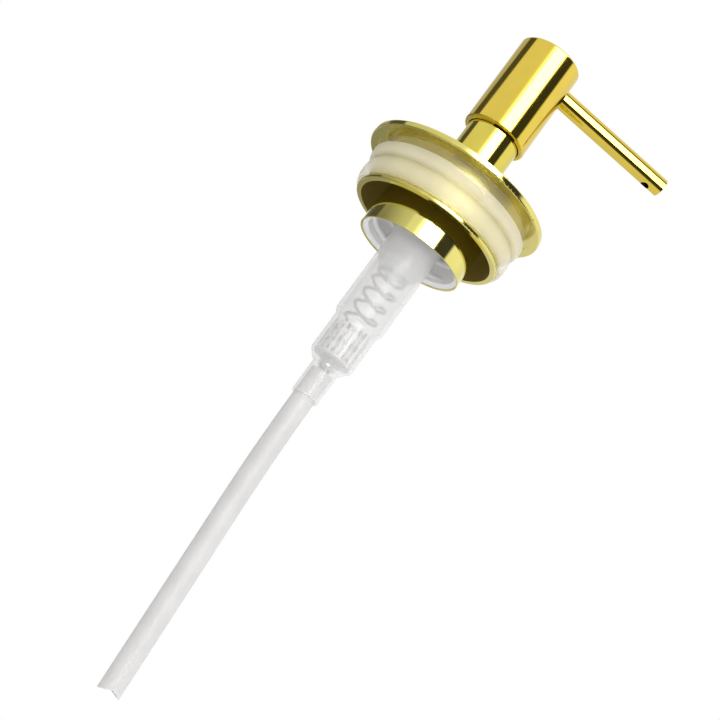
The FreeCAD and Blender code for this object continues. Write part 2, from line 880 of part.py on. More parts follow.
def make_head_insert():
    """Plastic hub under the roof of the head: holds the stem and the spout and joins their bores."""
    hub = stem_socket + insert_hub_wall
    channel = channel_dia / 2
    body = turned_body("head_insert", [
        (stem_socket, hub_foot),
        (stem_socket, stem_top + snug_gap),
        (channel, stem_top + snug_gap),
        (channel, spout_height),
        (0, spout_height),
        (0, insert_top),
        (insert_radius, insert_top),
        (insert_radius, insert_foot),
        (hub, insert_foot),
        (hub, hub_foot),
    ])
    flow = new_sketch(body, "flow_outline", "YZ_Plane")
    draw_circle(flow, 0, spout_height, channel)
    cut(body, "flow", flow, 2 * head_radius, reverse=True)
    seat = new_sketch(body, "spout_seat_outline", "YZ_Plane", spout_root)
    draw_circle(seat, 0, spout_height, spout_radius + snug_gap)
    cut(body, "spout_seat", seat, 2 * head_radius, reverse=True)
    slot = new_sketch(body, "stop_slot_outline")
    draw_outline(slot, [
        (-chamber_radius, stem_top),
        (chamber_radius, stem_top),
        (chamber_radius, stem_top + stop_slot),
        (-chamber_radius, stem_top + stop_slot),
    ])
    cut(body, "stop_slot_cut", slot, stop_slot, both_ways=True)
    return body


def make_spout_tube():
    """Straight tube with its outlet in the underside, near the closed tip."""
    body = new_body("spout_tube")
    section = new_sketch(body, "spout_section", "YZ_Plane", spout_root + snug_gap)
    draw_circle(section, 0, spout_height, spout_radius)
    draw_circle(section, 0, spout_height, spout_bore)
    add_feature(body, "Pad", "spout", section, Length=spout_reach - spout_root - snug_gap)
    outlet = new_sketch(body, "outlet_outline", "XY_Plane", spout_height)
    draw_circle(outlet, spout_reach - outlet_inset, 0, outlet_dia / 2)
    cut(body, "outlet", outlet, spout_dia)
    return body


def make_spout_plug():
    """Disc pressed into the spout's tip."""
    body = new_body("spout_plug")
    section = new_sketch(body, "plug_section", "YZ_Plane", spout_reach - plug_thick)
    draw_circle(section, 0, spout_height, spout_bore - snug_gap)
    add_feature(body, "Pad", "plug", section, Length=plug_thick)
    return body


# ---- the balls -----------------------------------------------------------------------------------


def make_ball(label, diameter, height):
    """A valve ball resting over its cone."""
    ball = doc.addObject("Part::Sphere", label)
    ball.Label = label
    ball.setExpression("Radius", (diameter / 2).formula)
    ball.setExpression("Placement.Base.z", height.formula)
    return ball


pieces = [
    make_lid_plate(),
    make_lid_seal(),
    make_neck_collar(),
    make_closure_shell(),
    make_closure_liner(),
    make_neck_gasket(),
    make_pump_housing(),
    make_ball_cage(),
    make_dip_tube(),
    make_spring(),
    make_stem_guide(),
    make_stem(),
    make_piston(),
    make_piston_seat(),
    make_head_shell(),
    make_head_insert(),
    make_spout_tube(),
    make_spout_plug(),
    make_ball("inlet_ball", ball_dia, inlet_ball_height),
    make_ball("outlet_ball", outlet_ball_dia, outlet_ball_height),
]
doc.recompute()

for item in doc.Objects:
    if "Invalid" in item.State or "Error" in item.State:
        raise RuntimeError(f"{item.Label} failed: {item.State}")
os.makedirs("parts", exist_ok=True)
for piece in pieces:
    shape = piece.Shape
    if shape.isNull() or not shape.isValid() or shape.Volume <= 0:
        raise RuntimeError(f"{piece.Label} has no valid solid")
    shape.exportStep(f"parts/{piece.Label}.step")
    box = shape.BoundBox
    print(f"{piece.Label:14s} solids {len(shape.Solids)} volume {shape.Volume:9.2f} "
          f"z {box.ZMin:8.2f} to {box.ZMax:7.2f} x {box.XMin:7.2f} to {box.XMax:6.2f}")
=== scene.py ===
"""Soap pump dispenser: finishes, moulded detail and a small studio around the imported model.

Laid out as an add-on.
"""
import json
import math

import bpy
from bpy.props import FloatProperty, FloatVectorProperty, PointerProperty
from mathutils import Matrix, Vector

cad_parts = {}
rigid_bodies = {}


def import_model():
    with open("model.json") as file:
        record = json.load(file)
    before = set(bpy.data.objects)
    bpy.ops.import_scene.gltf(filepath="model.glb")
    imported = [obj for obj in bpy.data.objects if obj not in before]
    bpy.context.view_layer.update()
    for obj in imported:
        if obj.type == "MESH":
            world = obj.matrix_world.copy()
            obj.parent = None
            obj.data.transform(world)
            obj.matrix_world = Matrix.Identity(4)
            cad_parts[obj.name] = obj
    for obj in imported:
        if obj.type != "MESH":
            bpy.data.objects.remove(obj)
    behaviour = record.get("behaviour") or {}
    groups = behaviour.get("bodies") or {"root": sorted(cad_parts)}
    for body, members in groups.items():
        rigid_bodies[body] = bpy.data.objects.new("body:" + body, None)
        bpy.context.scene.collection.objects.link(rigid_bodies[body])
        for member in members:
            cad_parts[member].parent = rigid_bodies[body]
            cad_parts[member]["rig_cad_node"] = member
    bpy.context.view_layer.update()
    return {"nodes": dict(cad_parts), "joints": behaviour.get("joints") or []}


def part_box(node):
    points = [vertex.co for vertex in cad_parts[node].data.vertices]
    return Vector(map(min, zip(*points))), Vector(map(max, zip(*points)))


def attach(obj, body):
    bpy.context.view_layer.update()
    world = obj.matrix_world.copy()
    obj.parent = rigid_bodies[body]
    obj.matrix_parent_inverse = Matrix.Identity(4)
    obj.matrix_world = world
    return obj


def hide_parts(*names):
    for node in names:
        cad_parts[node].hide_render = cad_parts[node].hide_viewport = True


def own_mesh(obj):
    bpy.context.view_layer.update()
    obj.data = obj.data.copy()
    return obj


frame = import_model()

bl_info = {
    "name": "Soap pump dispenser",
    "version": (1, 0, 0),
    "blender": (4, 5, 0),
    "location": "View3D > Sidebar > Soap pump",
    "description": "Finishes and details a soap pump and lights it in a small studio",
    "category": "Object",
}

MM = 0.001
MERGE_DISTANCE = 0.001 * MM

LINER_BORE = 13.16 * MM
LINER_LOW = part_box("closure_liner")[0].z
THREAD_EMBED = 0.1 * MM             # how far the thread's root lies in the liner's wall
THREAD_STEPS = 64                   # steps of the thread in one turn
THREAD_SMOOTHING = math.radians(35)
RUN_OUT_LENGTH = 16 * MM            # how far back along the thread its end starts to sink
RUN_OUT_DEPTH = 0.05 * MM           # how far the crest ends up behind the bore
SKIRT_BORE = 19.74 * MM
SEAL_BORE = 20.37 * MM
SEAL_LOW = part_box("lid_seal")[0].z
RIB_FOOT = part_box("ball_cage")[0].z + 0.6 * MM
RIB_HEIGHT = 8.5 * MM
RIB_COUNT = 10
FOOT_BORE = 5.2 * MM
HEAD_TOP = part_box("head_shell")[1].z
FLANGE_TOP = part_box("lid_plate")[1].z
TOP_SKIN = 0.02 * MM                # what counts as lying on a flat top
PRESS_TRAVEL = next(joint["range_m"][1] for joint in frame["joints"] if joint["name"] == "press")

CAMERA_TARGET = (0.0059, 0, -0.0501)
SEEN_RAYS = ("Is Camera Ray", "Is Glossy Ray", "Is Transmission Ray")
MATT_CARDS = ("softbox", "low_reflector", "fill", "scrim")    # the cards that light matt surfaces
CARD_DARK = 0.05                    # level of a card's dark part
FLAG_LEVEL = 0.2
FLAGS = (                           # name, distance, azimuths and height angles in degrees
    ("low_left_flag", 0.7, (-160, -30), (-60, -22)),
    ("top_flag", 1.0, (-16, 66), (48, 68)),
)
LEAN_FOOT = 18.6                    # height angle that the cards' lean is counted from, in degrees
LEAN_RANGE = 30                     # how far up the softbox's and the fill's edges go on leaning


# ---------------------------------------------------------------- sizes, colours and studio settings

def length(name, default, description):
    return FloatProperty(name=name, description=description, default=default, unit="LENGTH",
                         subtype="DISTANCE", precision=5)


def colour(name, default, description):
    return FloatVectorProperty(name=name, description=description, default=default, size=3,
                               subtype="COLOR", min=0, max=1)


def angle(name, degrees, description):
    return FloatProperty(name=name, description=description, default=math.radians(degrees),
                         unit="ROTATION", subtype="ANGLE")


def light_level(name, default, description):
    return FloatProperty(name=name, description=description, default=default, min=0, soft_max=12)


class DetailSizes(bpy.types.PropertyGroup):
    """Sizes of what is moulded onto the model here."""
    thread_pitch: length("Thread pitch", 4.2 * MM, "Rise of the neck thread in one turn")
    thread_reach: length("Thread reach", 0.75 * MM, "How far the thread stands in from the bore")
    thread_root: length("Thread root", 2.0 * MM, "Width of the thread where it meets the bore")
    thread_crest: length("Thread crest", 0.7 * MM, "Width of the thread's inner edge")
    thread_start: length("Thread start", 1.9 * MM,
                         "Height of the thread's first turn above the liner's mouth")
    thread_turns: FloatProperty(name="Thread turns", description="Turns of thread", default=1.75, min=0.5)


class FinishColours(bpy.types.PropertyGroup):
    """Colours of the pump's finishes."""
    gold: colour("Head plating", (0.715, 0.54, 0.082), "Bright gold of the push head and spout")
    collar_gold: colour("Collar plating", (0.69, 0.575, 0.10), "Gold of the neck collar")
    lid_gold: colour("Lid plating", (0.735, 0.65, 0.185), "Paler gold of the cover plate")
    closure_gold: colour("Closure plating", (0.75, 0.67, 0.20), "Palest gold, of the closure's shell")
    # Darker gold inside the lid's skirt: partly thin plating, partly painted shade of that hollow
    shaded_thin_gold: colour("Thin plating", (0.64, 0.54, 0.20), "Where the plating hardly reaches, inside the lid")
    silicone: colour("Silicone", (0.92, 0.87, 0.68), "Milky silicone of the plug ring")
    white: colour("White plastic", (0.975, 0.97, 0.96), "Moulded liner and head insert")
    foam: colour("Gasket foam", (0.86, 0.85, 0.80), "Foamed sealing washer")
    frosted: colour("Frosted plastic", (0.93, 0.925, 0.915), "Pump housing")
    natural: colour("Natural plastic", (0.93, 0.92, 0.905), "Undyed inner mouldings")
    tube: colour("Tube plastic", (0.8, 0.79, 0.78), "Extruded dip tube")
    wire: colour("Spring wire", (0.27, 0.27, 0.265), "Drawn steel wire")
    ball: colour("Ball steel", (0.62, 0.62, 0.63), "Polished steel balls")


class StudioSettings(bpy.types.PropertyGroup):
    """Camera, floor and light."""
    azimuth: angle("Azimuth", -12.67, "Camera's turn about the pump, from straight in front")
    elevation: angle("Elevation", -14.86, "Camera's height angle: it looks up at the pump")
    roll: angle("Roll", 35.93, "Camera's turn about its own line of sight")
    distance: length("Distance", 0.3743, "From the camera to the point that it looks at")
    lens: FloatProperty(name="Lens", description="Focal length in millimetres", default=75, min=20)
    floor_drop: length("Floor drop", 0.8, "Depth of the floor under the pump's seat")
    card_distance: length("Card distance", 1.0, "From the pump to the lights and cards")
    room_light: light_level("Room light", 0.84, "Level of the light from all around on matt surfaces")
    softbox_light: light_level("Softbox light", 1.6, "Level of the softbox on matt surfaces")
    low_light: light_level("Low light", 1.2, "Level of the low reflector on matt surfaces")
    softbox_glare: light_level("Softbox glare", 10, "Level of the softbox as polished surfaces mirror it")


# ---------------------------------------------------------------- shader maths

class Value:
    """A shader socket that takes part in Python arithmetic: every operator adds its Math node."""

    def __init__(self, finish, socket):
        self.finish = finish
        self.socket = socket

    def maths(self, operation, *numbers):
        return self.finish.node("ShaderNodeMath", {"operation": operation}, numbers)

    def __add__(self, other):
        return self.maths("ADD", self, other)

    def __radd__(self, other):
        return self.maths("ADD", other, self)

    def __sub__(self, other):
        return self.maths("SUBTRACT", self, other)

    def __rsub__(self, other):
        return self.maths("SUBTRACT", other, self)

    def __mul__(self, other):
        return self.maths("MULTIPLY", self, other)

    def __rmul__(self, other):
        return self.maths("MULTIPLY", other, self)

    def __truediv__(self, other):
        return self.maths("DIVIDE", self, other)

    def __pow__(self, other):
        return self.maths("POWER", self, other)

    def __gt__(self, other):
        return self.maths("GREATER_THAN", self, other)

    def __lt__(self, other):
        return self.maths("LESS_THAN", self, other)


class Finish:
    """A node tree under construction: a material's, or the world's."""

    def __init__(self, owner, output):
        owner.use_nodes = True
        self.owner = owner
        self.tree = owner.node_tree
        self.tree.nodes.clear()
        self.output = self.tree.nodes.new(output)

    def node(self, kind, settings=None, inputs=(), result=0):
        """Adds a node: its settings first, then its inputs, by name or in order. Returns one output."""
        made = self.tree.nodes.new(kind)
        for name, setting in (settings or {}).items():
            setattr(made, name, setting)
        pairs = inputs.items() if isinstance(inputs, dict) else enumerate(inputs)
        for name, value in pairs:
            if isinstance(value, Value):
                self.tree.links.new(value.socket, made.inputs[name])
            else:
                made.inputs[name].default_value = value
        return Value(self, made.outputs[result])

    def place(self):
        return self.node("ShaderNodeTexCoord", result="Object")

    def parts(self, place):
        """The three coordinates of a place."""
        split = self.node("ShaderNodeSeparateXYZ", inputs=(place,)).socket.node
        return tuple(Value(self, split.outputs[axis]) for axis in "XYZ")

    def stretched(self, scale):
        """Object coordinates stretched by a scale for each axis."""
        return self.node("ShaderNodeMapping", inputs={"Vector": self.place(), "Scale": scale})

    def noise(self, size, detail=2.0, roughness=0.5, where=None):
        """Soft noise from 0 to 1 whose features are about that size in metres."""
        return self.node("ShaderNodeTexNoise",
                         inputs={"Vector": where or self.place(), "Scale": 1 / size,
                                 "Detail": detail, "Roughness": roughness})

    def spread(self, value, low, high, to_low=0.0, to_high=1.0, kind="SMOOTHSTEP"):
        """The value from low to high, spread smoothly over another range."""
        return self.node("ShaderNodeMapRange", {"interpolation_type": kind},
                         {"Value": value, "From Min": low, "From Max": high,
                          "To Min": to_low, "To Max": to_high})

    def ramp(self, value, low=0.0, high=1.0, to_low=0.0, to_high=1.0):
        """The value from low to high, spread evenly over another range and kept inside it."""
        return self.spread(value, low, high, to_low, to_high, kind="LINEAR")

    def tint(self, factor, first, second):
        """A mix of two colours."""
        return self.node("ShaderNodeMix", {"data_type": "RGBA"},
                         {"Factor": factor, 6: opaque(first), 7: opaque(second)}, result=2)

    def bump(self, height, depth, over=None):
        """A normal pushed by a height from 0 to 1 that stands for a depth in metres."""
        inputs = {"Height": height, "Distance": depth, "Strength": 1.0}
        if over:
            inputs["Normal"] = over
        return self.node("ShaderNodeBump", inputs=inputs)

    def principled(self, **sockets):
        """The surface shader: socket names are given with underscores for spaces."""
        inputs = {name.replace("_", " "): value for name, value in sockets.items()}
        return self.node("ShaderNodeBsdfPrincipled", inputs=inputs)

    def close(self, shader):
        self.tree.links.new(shader.socket, self.output.inputs["Surface"])
        return self.owner


def opaque(value):
    """A colour with its alpha, or a socket as it is."""
    return value if isinstance(value, Value) else (*value, 1.0)


def shade(value, factor):
    """A colour made lighter or darker."""
    return tuple(min(1.0, channel * factor) for channel in value)


def new_finish(name):
    return Finish(bpy.data.materials.new(name), "ShaderNodeOutputMaterial")


# ---------------------------------------------------------------- finishes

def gold_finish(name, gold, satin_top=None, shaded_thin_gold=None):
    """Bright plating over a polished pressing: faint waviness, wiping marks and a few smudges.
    A flat top at the height given is satin. With a shaded thin gold, the inside of the lid's skirt is
    a darker, duller gold: partly thin plating and partly painted shade in that hollow. What the plug
    ring covers is blurred and less metallic."""
    finish = new_finish(name)
    waviness = finish.noise(3.5 * MM, detail=1)
    grain = finish.noise(0.25 * MM, detail=3, roughness=0.6)
    wiping = finish.noise(1.2 * MM, detail=4, roughness=0.65, where=finish.stretched((1, 1, 0.15)))
    smudge = finish.spread(finish.noise(9 * MM, detail=3), 0.5, 0.72)
    base = finish.tint(finish.spread(finish.noise(6 * MM), 0.3, 0.7),
                       shade(gold, 0.97), shade(gold, 1.02))
    roughness = 0.045 + 0.03 * grain + 0.03 * wiping + 0.035 * smudge
    metallic = 1.0
    if satin_top is not None:
        roughness = roughness + 0.3 * (place_height(finish) > satin_top - TOP_SKIN)
    if shaded_thin_gold:
        radius, height = axis_distance(finish), place_height(finish)
        shaded_thin = (radius < SKIRT_BORE) * (height < 0.2 * MM)
        covered = (radius > SKIRT_BORE + 0.3 * MM) * (radius < SEAL_BORE + 0.1 * MM)
        covered = covered * (height > SEAL_LOW) * (height < 0.05 * MM)
        # Painted shade: inside the skirt the gold is darkened, standing partly for thin plating and partly
        # for the hollow's shade
        base = finish.tint(shaded_thin, base, finish.tint(waviness, shade(shaded_thin_gold, 0.9), shaded_thin_gold))
        blurred = covered * finish.spread(height, -2.8 * MM, -2.2 * MM, 1, 0.45)
        roughness = roughness + (0.22 - 0.03 * wiping) * shaded_thin + 0.45 * blurred
        metallic = 1.0 - 0.25 * shaded_thin - 0.55 * blurred
    normal = finish.bump(grain, 0.0002 * MM, over=finish.bump(waviness, 0.003 * MM))
    return finish.close(finish.principled(
        Base_Color=base, Metallic=metallic, Roughness=roughness, Normal=normal))


def axis_distance(finish):
    """Distance from the pump's axis."""
    level_place = finish.node("ShaderNodeVectorMath", {"operation": "MULTIPLY"},
                              (finish.place(), (1, 1, 0)))
    return finish.node("ShaderNodeVectorMath", {"operation": "LENGTH"}, (level_place,), result="Value")


def place_height(finish):
    """Height above the jar's rim."""
    return finish.parts(finish.place())[2]


def silicone_finish(colours):
    """Milky silicone over the skirt: the thinner it is, the more of the gold behind it shows."""
    finish = new_finish("milky_silicone")
    cloud = finish.noise(7 * MM, detail=3)
    bloom = finish.noise(0.8 * MM, detail=4, roughness=0.6)
    skin = finish.noise(0.18 * MM, detail=2)
    base = finish.tint(finish.spread(cloud, 0.3, 0.7), shade(colours.silicone, 0.96), colours.silicone)
    thickness = axis_distance(finish) - SEAL_BORE
    # Painted shade: where the silicone is thickest, mostly the rib just under the flange, it is darkened up
    # to a fifth of the way to dark grey-brown
    base = finish.tint(finish.spread(thickness, 2.1 * MM, 2.8 * MM, 0, 0.2), base, (0.2, 0.18, 0.14))
    milkiness = finish.spread(thickness, 0.9 * MM, 2.6 * MM, 0.16, 0.74) + 0.08 * (cloud - 0.5)
    roughness = 0.26 + 0.1 * bloom + 0.08 * cloud
    normal = finish.bump(skin, 0.001 * MM, over=finish.bump(bloom, 0.004 * MM))
    return finish.close(finish.principled(
        Base_Color=base, Roughness=roughness, Normal=normal, IOR=1.41, Specular_IOR_Level=0.35,
        Alpha=milkiness * (thickness > 0.2 * MM), Subsurface_Weight=0.5,
        Subsurface_Radius=(1.0, 0.9, 0.7), Subsurface_Scale=1.5 * MM))


def moulded_finish(name, base_colour, roughness, grain_depth, milkiness, scatter, banded=False):
    """Injection-moulded plastic: a fine spark-eroded grain over a slow sink of the surface.
    A banded one is milkier along the ribs of the housing's foot."""
    finish = new_finish(name)
    flow = finish.noise(5 * MM, detail=2)
    grain = finish.noise(0.14 * MM, detail=3, roughness=0.6)
    base = finish.tint(finish.spread(flow, 0.3, 0.7), shade(base_colour, 0.96), base_colour)
    normal = finish.bump(grain, grain_depth, over=finish.bump(flow, 0.02 * MM))
    if banded:
        milkiness = milkiness + 0.5 * foot_bands(finish)
    return finish.close(finish.principled(
        Base_Color=base, Roughness=roughness + 0.1 * grain + 0.06 * flow, Normal=normal, IOR=1.49,
        Specular_IOR_Level=0.35, Alpha=milkiness, Subsurface_Weight=scatter,
        Subsurface_Radius=(1.0, 1.0, 0.95), Subsurface_Scale=1.2 * MM))


def foot_bands(finish):
    """1 along the ribs in the housing's foot and the bands between them, falling to 0 beside them."""
    across, along, up = finish.parts(finish.place())
    turn = finish.node("ShaderNodeMath", {"operation": "ARCTAN2"}, (along, across))
    wave = finish.node("ShaderNodeMath", {"operation": "COSINE"}, (turn * (2 * RIB_COUNT),))
    rise = finish.spread(up, RIB_FOOT - 0.5 * MM, RIB_FOOT + 0.3 * MM)
    fall = finish.spread(up, RIB_FOOT + RIB_HEIGHT, RIB_FOOT + RIB_HEIGHT + 2.5 * MM, 1, 0)
    within = axis_distance(finish) < FOOT_BORE + 0.1 * MM
    return finish.spread(wave, -0.3, 0.4) * rise * fall * within


def tube_finish(colours):
    """Extruded tube: fine draw lines run along it, and it is cloudy in slow patches."""
    finish = new_finish("extruded_tube")
    lines = finish.noise(0.5 * MM, detail=3, roughness=0.6, where=finish.stretched((1, 1, 0.02)))
    cloud = finish.noise(8 * MM, detail=3)
    base = finish.tint(finish.spread(cloud, 0.3, 0.7), shade(colours.tube, 0.94), colours.tube)
    roughness = 0.4 + 0.08 * lines + 0.1 * cloud
    return finish.close(finish.principled(
        Base_Color=base, Roughness=roughness, Normal=finish.bump(lines, 0.0015 * MM), IOR=1.51,
        Specular_IOR_Level=0.35, Alpha=0.86, Subsurface_Weight=0.15,
        Subsurface_Radius=(1.0, 1.0, 0.95), Subsurface_Scale=1.0 * MM))


def foam_finish(colours):
    """Foamed washer: small closed cells."""
    finish = new_finish("gasket_foam")
    cells = finish.node("ShaderNodeTexVoronoi", {"feature": "F1"},
                        {"Vector": finish.place(), "Scale": 1 / (0.35 * MM)})
    base = finish.tint(finish.spread(cells, 0.0, 0.6), shade(colours.foam, 0.86), colours.foam)
    return finish.close(finish.principled(
        Base_Color=base, Roughness=0.7 + 0.2 * cells, Normal=finish.bump(cells, 0.06 * MM),
        Subsurface_Weight=0.3, Subsurface_Scale=0.8 * MM))


def wire_finish(colours):
    """Drawn wire: a satin skin with streaks and the odd dull patch."""
    finish = new_finish("spring_wire")
    streak = finish.noise(0.12 * MM, detail=3, roughness=0.65)
    patch = finish.noise(2.5 * MM, detail=2)
    base = finish.tint(streak, shade(colours.wire, 0.8), shade(colours.wire, 1.15))
    return finish.close(finish.principled(
        Base_Color=base, Metallic=1.0, Roughness=0.1 + 0.1 * streak + 0.06 * patch,
        Normal=finish.bump(streak, 0.004 * MM)))


def ball_finish(colours):
    """Polished ball."""
    finish = new_finish("polished_ball")
    haze = finish.noise(0.9 * MM, detail=3)
    base = finish.tint(haze, shade(colours.ball, 0.95), shade(colours.ball, 1.04))
    return finish.close(finish.principled(
        Base_Color=base, Metallic=1.0, Roughness=0.05 + 0.06 * haze,
        Normal=finish.bump(haze, 0.001 * MM)))


def dress(names, material):
    """Gives every slot of these nodes one material."""
    for name in names:
        node = frame["nodes"][name]
        for slot in node.material_slots:
            slot.material = material


# ---------------------------------------------------------------- modelling helpers

def deselect_all():
    for thing in bpy.data.objects:
        thing.select_set(False)


def copy_node(node, name):
    """A piece with its own copy of a CAD node's mesh and materials, where the node is."""
    deselect_all()
    frame["nodes"][node].select_set(True)
    bpy.context.view_layer.objects.active = frame["nodes"][node]
    bpy.ops.object.duplicate(linked=False)
    piece = bpy.context.object
    piece.name = piece.data.name = name
    del piece["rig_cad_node"]
    bpy.ops.object.mode_set(mode="EDIT")
    bpy.ops.mesh.select_all(action="SELECT")
    bpy.ops.mesh.remove_doubles(threshold=MERGE_DISTANCE)
    bpy.ops.object.mode_set(mode="OBJECT")
    return piece


def select_where(thing, test):
    """Selects the vertices whose place passes the test. The object is in edit mode before and after."""
    bpy.ops.mesh.select_mode(type="VERT")
    bpy.ops.mesh.select_all(action="DESELECT")
    bpy.ops.object.mode_set(mode="OBJECT")
    for vertex in thing.data.vertices:
        vertex.select = test(vertex.co)
    bpy.ops.object.mode_set(mode="EDIT")


def settle(thing, name):
    """Names a new piece and moves its place into its mesh."""
    thing.name = name
    thing.data.name = name
    deselect_all()
    thing.select_set(True)
    bpy.context.view_layer.objects.active = thing
    bpy.ops.object.transform_apply(location=True, rotation=True, scale=True)


def liner_thread(sizes):
    """The neck thread in the liner: a tapered ridge that climbs the bore and runs out at both ends."""
    deselect_all()
    depth = sizes.thread_reach + THREAD_EMBED
    middle = LINER_BORE + THREAD_EMBED - depth / 2
    height = LINER_LOW + sizes.thread_start
    bpy.ops.mesh.primitive_plane_add(size=1, location=(middle, 0, height),
                                     rotation=(math.radians(90), 0, 0))
    ridge = bpy.context.object
    ridge.scale = (depth, sizes.thread_root, 1)
    settle(ridge, "liner_thread")
    bpy.ops.object.mode_set(mode="EDIT")
    select_where(ridge, lambda place: place.x < middle)
    bpy.ops.transform.resize(value=(1, 1, sizes.thread_crest / sizes.thread_root),
                             center_override=(0, 0, height))
    bpy.ops.object.mode_set(mode="OBJECT")
    screw = ridge.modifiers.new("thread", "SCREW")
    screw.axis = "Z"
    screw.angle = 2 * math.pi * sizes.thread_turns
    screw.screw_offset = sizes.thread_pitch * sizes.thread_turns
    screw.steps = screw.render_steps = round(THREAD_STEPS * sizes.thread_turns)
    screw.use_merge_vertices = False
    bpy.ops.object.modifier_apply(modifier=screw.name)
    bpy.ops.object.mode_set(mode="EDIT")
    bpy.ops.mesh.select_all(action="SELECT")
    bpy.ops.mesh.remove_doubles(threshold=MERGE_DISTANCE)
    bpy.ops.mesh.select_all(action="DESELECT")
    bpy.ops.mesh.select_non_manifold(extend=False, use_wire=False, use_multi_face=False,
                                     use_non_contiguous=False, use_verts=False)
    bpy.ops.mesh.edge_face_add()
    bpy.ops.mesh.select_all(action="SELECT")
    bpy.ops.mesh.normals_make_consistent(inside=False)
    for turns in (0, sizes.thread_turns):
        run_out(ridge, sizes, turns)
    bpy.ops.object.mode_set(mode="OBJECT")
    bpy.ops.object.shade_smooth_by_angle(angle=THREAD_SMOOTHING)
    return ridge


def run_out(ridge, sizes, turns):
    """Sinks the ridge's end at this many turns into the bore, easing away along the ridge.
    The object is in edit mode before and after."""
    crest = LINER_BORE - sizes.thread_reach
    turned = 2 * math.pi * turns
    tip = Vector((crest * math.cos(turned), crest * math.sin(turned),
                  LINER_LOW + sizes.thread_start + sizes.thread_pitch * turns))
    select_where(ridge, lambda place: (place - tip).length < 0.7 * sizes.thread_crest)
    sunk = (LINER_BORE + RUN_OUT_DEPTH) / crest
    bpy.ops.transform.resize(
        value=(sunk, sunk, 1), center_override=(0, 0, tip.z), use_proportional_edit=True,
        proportional_edit_falloff="SMOOTH", proportional_size=RUN_OUT_LENGTH,
        use_proportional_connected=True)


# ---------------------------------------------------------------- operators

class PieceOperator:
    """What the operators share."""
    bl_options = {"REGISTER", "UNDO"}


class PUMP_OT_metalwork(PieceOperator, bpy.types.Operator):
    """Plate the cover plate, collar, closure, head and spout in bright gold"""
    bl_idname = "pump.metalwork"
    bl_label = "Gold metalwork"

    def execute(self, context):
        colours = context.scene.pump_colours
        dress(("head_shell", "spout_tube", "spout_plug"),
              gold_finish("head_plating", colours.gold, HEAD_TOP))
        dress(("neck_collar",), gold_finish("collar_plating", colours.collar_gold))
        dress(("lid_plate",),
              gold_finish("lid_plating", colours.lid_gold, FLANGE_TOP, colours.shaded_thin_gold))
        dress(("closure_shell",), gold_finish("closure_plating", colours.closure_gold))
        return {"FINISHED"}


class PUMP_OT_plug_ring(PieceOperator, bpy.types.Operator):
    """Finish the ribbed plug ring in milky silicone"""
    bl_idname = "pump.plug_ring"
    bl_label = "Plug ring"

    def execute(self, context):
        colours = context.scene.pump_colours
        dress(("lid_seal",), silicone_finish(colours))
        return {"FINISHED"}


class PUMP_OT_closure_inside(PieceOperator, bpy.types.Operator):
    """Finish the liner and its washer, and mould the neck thread inside the liner"""
    bl_idname = "pump.closure_inside"
    bl_label = "Closure liner"

    def execute(self, context):
        colours = context.scene.pump_colours
        white = moulded_finish("white_moulding", colours.white, roughness=0.32,
                               grain_depth=0.006 * MM, milkiness=1.0, scatter=0.35)
        dress(("closure_liner", "head_insert"), white)
        dress(("neck_gasket",), foam_finish(colours))
        ridge = liner_thread(context.scene.pump_sizes)
        ridge.data.materials.append(white)
        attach(ridge, "base")
        return {"FINISHED"}


class PUMP_OT_pump_body(PieceOperator, bpy.types.Operator):
    """Finish the frosted housing and the dip tube"""
    bl_idname = "pump.pump_body"
    bl_label = "Pump body"

    def execute(self, context):
        colours = context.scene.pump_colours
        dress(("pump_housing",),
              moulded_finish("frosted_moulding", colours.frosted, roughness=0.2,
                             grain_depth=0.0004 * MM, milkiness=0.38, scatter=0.1, banded=True))
        dress(("dip_tube",), tube_finish(colours))
        return {"FINISHED"}


class PUMP_OT_plunger(PieceOperator, bpy.types.Operator):
    """Finish the undyed mouldings that slide inside the housing"""
    bl_idname = "pump.plunger"
    bl_label = "Plunger mouldings"

    def execute(self, context):
        colours = context.scene.pump_colours
        dress(("stem_guide", "stem", "piston", "piston_seat", "ball_cage"),
              moulded_finish("natural_moulding", colours.natural, roughness=0.26,
                             grain_depth=0.0006 * MM, milkiness=0.6, scatter=0.1))
        return {"FINISHED"}


class PUMP_OT_spring_and_balls(PieceOperator, bpy.types.Operator):
    """Finish the return spring and the valve balls, and put a merged copy of the spring in its place"""
    bl_idname = "pump.spring_and_balls"
    bl_label = "Spring and balls"

    def execute(self, context):
        colours = context.scene.pump_colours
        dress(("spring",), wire_finish(colours))
        dress(("inlet_ball", "outlet_ball"), ball_finish(colours))
        spring = copy_node("spring", "return_spring")
        low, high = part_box("spring")
        free = high.z - low.z
        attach(spring, "base")
        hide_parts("spring")
        (free - PRESS_TRAVEL) / free
        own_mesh(spring)
        return {"FINISHED"}


# ---------------------------------------------------------------- studio

def rays(finish, *kinds):
    """1 on rays of these kinds and 0 on others."""
    total = finish.node("ShaderNodeLightPath", result=kinds[0])
    for kind in kinds[1:]:
        total = total + finish.node("ShaderNodeLightPath", result=kind)
    return finish.node("ShaderNodeClamp", inputs={"Value": total})


def emission(finish, strength):
    return finish.node("ShaderNodeEmission", inputs={"Color": (1, 1, 1, 1), "Strength": strength})


def facing(azimuth, elevation):
    """The unit vector from the pump towards a direction: azimuth 0 is straight in front."""
    return Vector((math.sin(azimuth) * math.cos(elevation),
                   -math.cos(azimuth) * math.cos(elevation),
                   math.sin(elevation)))


